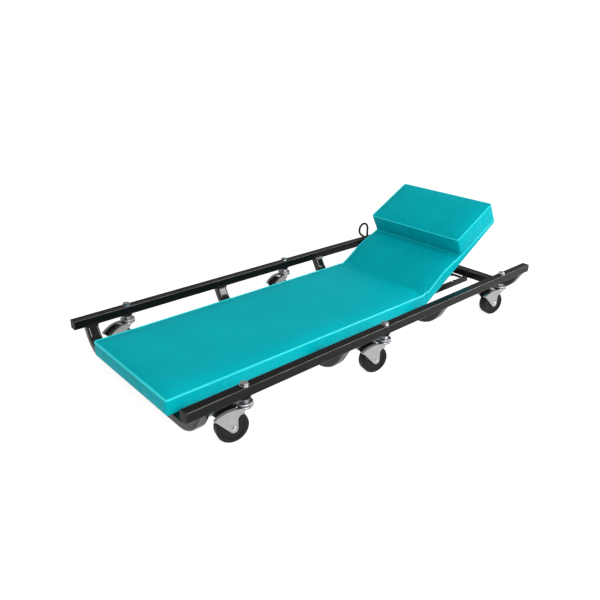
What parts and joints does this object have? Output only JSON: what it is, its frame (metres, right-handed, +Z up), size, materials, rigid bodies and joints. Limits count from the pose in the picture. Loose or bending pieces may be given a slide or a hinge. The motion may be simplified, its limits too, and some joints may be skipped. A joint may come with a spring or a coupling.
{
  "type": "mechanics creeper",
  "caption": "Low rolling creeper: padded board slung between square steel rails on swivel casters, with a hinged headrest and pillow held by a notched wire prop.",
  "frame": {"origin": "on the floor, under the middle of the overall box", "axes": "+X along the creeper to the head end, +Y to the right hand of someone lying on it, +Z up"},
  "size_m": [1.016, 0.448, 0.2577],
  "materials": {
    "black_paint": "glossy black powder coat",
    "black_plastic": "moulded plastic",
    "plywood": "raw plywood",
    "vinyl": "teal upholstery vinyl over foam",
    "zinc": "zinc plated",
    "chrome": "bright nickel chrome plate",
    "black_rubber": "hard moulded rubber"
  },
  "bodies": {
    "frame": {"left_rail": "black_paint", "right_rail": "black_paint", "rail_end_caps": "black_plastic", "cross_tube_foot": "black_paint", "cross_tube_leg": "black_paint", "cross_tube_back": "black_paint", "cross_tube_head": "black_paint", "headrest_cross_bar": "black_paint", "left_rack": "black_paint", "right_rack": "black_paint", "main_board": "plywood", "main_cushion": "vinyl", "main_board_screws": "zinc", "hinge_base_leaves": "zinc", "hinge_pins": "zinc", "hinge_base_screws": "zinc", "caster_cap_nuts": "chrome", "caster_washers": "chrome", "caster_spacers": "black_paint", "caster_jam_nuts": "chrome", "caster_balls": "zinc", "foot_left_stem": "chrome", "mid_left_stem": "chrome", "head_left_stem": "chrome", "foot_right_stem": "chrome", "mid_right_stem": "chrome", "head_right_stem": "chrome"},
    "headrest": {"hinge_head_leaves": "zinc", "hinge_head_screws": "zinc", "head_board": "plywood", "head_cushion": "vinyl", "pillow": "vinyl", "prop_brackets": "black_paint", "prop_bracket_screws": "zinc"},
    "prop": {"prop_bail": "black_paint", "prop_retainers": "zinc"},
    "foot_left_swivel": {"foot_left_fork": "chrome", "foot_left_axle": "chrome"},
    "foot_left_roller": {"foot_left_wheel": "black_rubber", "foot_left_bush": "zinc"},
    "mid_left_swivel": {"mid_left_fork": "chrome", "mid_left_axle": "chrome"},
    "mid_left_roller": {"mid_left_wheel": "black_rubber", "mid_left_bush": "zinc"},
    "head_left_swivel": {"head_left_fork": "chrome", "head_left_axle": "chrome"},
    "head_left_roller": {"head_left_wheel": "black_rubber", "head_left_bush": "zinc"},
    "foot_right_swivel": {"foot_right_fork": "chrome", "foot_right_axle": "chrome"},
    "foot_right_roller": {"foot_right_wheel": "black_rubber", "foot_right_bush": "zinc"},
    "mid_right_swivel": {"mid_right_fork": "chrome", "mid_right_axle": "chrome"},
    "mid_right_roller": {"mid_right_wheel": "black_rubber", "mid_right_bush": "zinc"},
    "head_right_swivel": {"head_right_fork": "chrome", "head_right_axle": "chrome"},
    "head_right_roller": {"head_right_wheel": "black_rubber", "head_right_bush": "zinc"}
  },
  "joints": [
    {"name": "headrest_tilt", "type": "hinge", "parent": "frame", "child": "headrest", "pos_m": [0.19, 0, 0.044], "axis": [0, -1, 0], "range_deg": [-6.7, 14.3]},
    {"name": "prop_swing", "type": "hinge", "parent": "headrest", "child": "prop", "pos_m": [0.28714, 0, 0.09586], "axis": [0, -1, 0], "range_deg": [-45, 21.5]},
    {"name": "foot_left_swivel_turn", "type": "hinge", "parent": "frame", "child": "foot_left_swivel", "pos_m": [-0.392, -0.2085, 0.063], "axis": [0, 0, 1], "continuous": true},
    {"name": "foot_left_wheel_roll", "type": "hinge", "parent": "foot_left_swivel", "child": "foot_left_roller", "pos_m": [-0.41577, -0.20257, 0.029], "axis": [-0.2419, -0.9703, 0], "continuous": true},
    {"name": "mid_left_swivel_turn", "type": "hinge", "parent": "frame", "child": "mid_left_swivel", "pos_m": [-0.042, -0.2085, 0.063], "axis": [0, 0, 1], "continuous": true},
    {"name": "mid_left_wheel_roll", "type": "hinge", "parent": "mid_left_swivel", "child": "mid_left_roller", "pos_m": [-0.06577, -0.20257, 0.029], "axis": [-0.2419, -0.9703, 0], "continuous": true},
    {"name": "head_left_swivel_turn", "type": "hinge", "parent": "frame", "child": "head_left_swivel", "pos_m": [0.392, -0.2085, 0.063], "axis": [0, 0, 1], "continuous": true},
    {"name": "head_left_wheel_roll", "type": "hinge", "parent": "head_left_swivel", "child": "head_left_roller", "pos_m": [0.36823, -0.20257, 0.029], "axis": [-0.2419, -0.9703, 0], "continuous": true},
    {"name": "foot_right_swivel_turn", "type": "hinge", "parent": "frame", "child": "foot_right_swivel", "pos_m": [-0.392, 0.2085, 0.063], "axis": [0, 0, 1], "continuous": true},
    {"name": "foot_right_wheel_roll", "type": "hinge", "parent": "foot_right_swivel", "child": "foot_right_roller", "pos_m": [-0.41577, 0.20257, 0.029], "axis": [0.2419, -0.9703, 0], "continuous": true},
    {"name": "mid_right_swivel_turn", "type": "hinge", "parent": "frame", "child": "mid_right_swivel", "pos_m": [0.042, 0.2085, 0.063], "axis": [0, 0, 1], "continuous": true},
    {"name": "mid_right_wheel_roll", "type": "hinge", "parent": "mid_right_swivel", "child": "mid_right_roller", "pos_m": [0.01823, 0.20257, 0.029], "axis": [0.2419, -0.9703, 0], "continuous": true},
    {"name": "head_right_swivel_turn", "type": "hinge", "parent": "frame", "child": "head_right_swivel", "pos_m": [0.392, 0.2085, 0.063], "axis": [0, 0, 1], "continuous": true},
    {"name": "head_right_wheel_roll", "type": "hinge", "parent": "head_right_swivel", "child": "head_right_roller", "pos_m": [0.36823, 0.20257, 0.029], "axis": [0.2419, -0.9703, 0], "continuous": true}
  ],
  "couplings": [
    {"joint": "prop_swing", "follows": "headrest_tilt", "ratio": -3.08}
  ]
}
